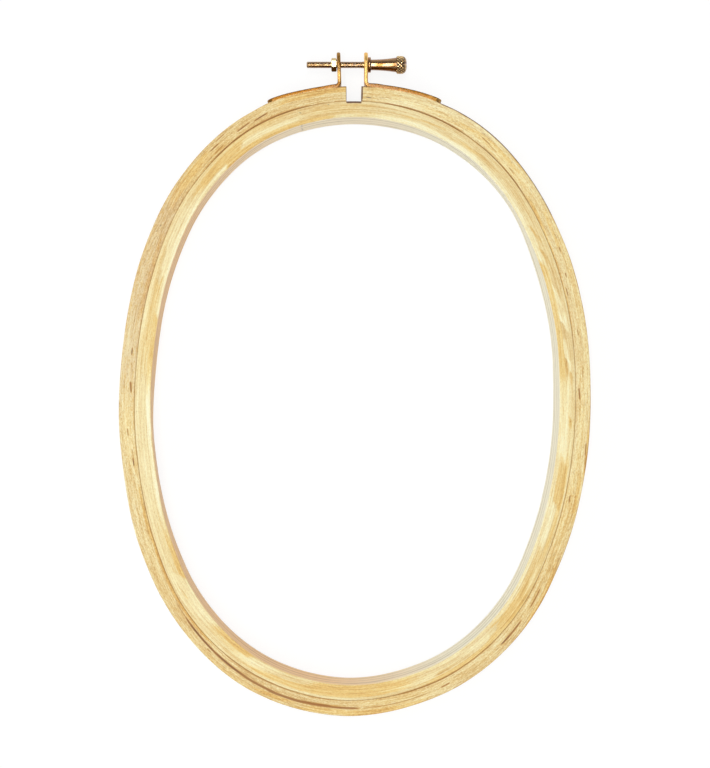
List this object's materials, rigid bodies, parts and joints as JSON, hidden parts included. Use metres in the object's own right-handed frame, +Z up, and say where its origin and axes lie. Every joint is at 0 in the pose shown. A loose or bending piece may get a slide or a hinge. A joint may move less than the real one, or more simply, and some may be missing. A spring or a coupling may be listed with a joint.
{
  "type": "embroidery hoop",
  "caption": "Oval wooden embroidery hoop: a plain inner ring inside a split outer ring that a brass clamp screw draws together.",
  "frame": {"origin": "middle of the underside of the whole part, lying flat", "axes": "+X across the hoop towards the screw's knob, +Y along the hoop towards the clamp, +Z up through the rings"},
  "size_m": [0.2146, 0.3014, 0.016],
  "materials": {
    "inner_wood": "sanded pale beech, grain along the ring",
    "outer_wood": "sanded pale beech with brown flecks and a dark streak",
    "strap_brass": "warm coppery brass, satin",
    "rivet_brass": "satin",
    "screw_brass": "turned, bright",
    "nut_brass": "bright"
  },
  "bodies": {
    "outer_frame": {"outer_ring": "outer_wood", "right_bracket": "strap_brass", "right_rivet_1": "rivet_brass", "right_rivet_2": "rivet_brass"},
    "left_clamp": {"left_bracket": "strap_brass", "left_rivet_1": "rivet_brass", "left_rivet_2": "rivet_brass", "hex_nut": "nut_brass"},
    "screw": {"clamp_screw": "screw_brass"},
    "inner_hoop": {"inner_ring": "inner_wood"}
  },
  "joints": [
    {"name": "screw_turn", "type": "hinge", "parent": "outer_frame", "child": "screw", "pos_m": [0, 0.1451, 0.008], "axis": [1, 0, 0], "range_deg": [-1296, 5760]},
    {"name": "gap_open", "type": "slide", "parent": "outer_frame", "child": "left_clamp", "axis": [-1, 0, 0], "range_m": [-0.0018, 0.008], "deforming": ["outer_ring"]},
    {"name": "inner_ring_lift", "type": "slide", "parent": "outer_frame", "child": "inner_hoop", "axis": [0, 0, 1], "range_m": [0, 0.024]}
  ],
  "couplings": [
    {"joint": "screw_turn", "follows": "gap_open", "rad_per_m": 12566}
  ]
}
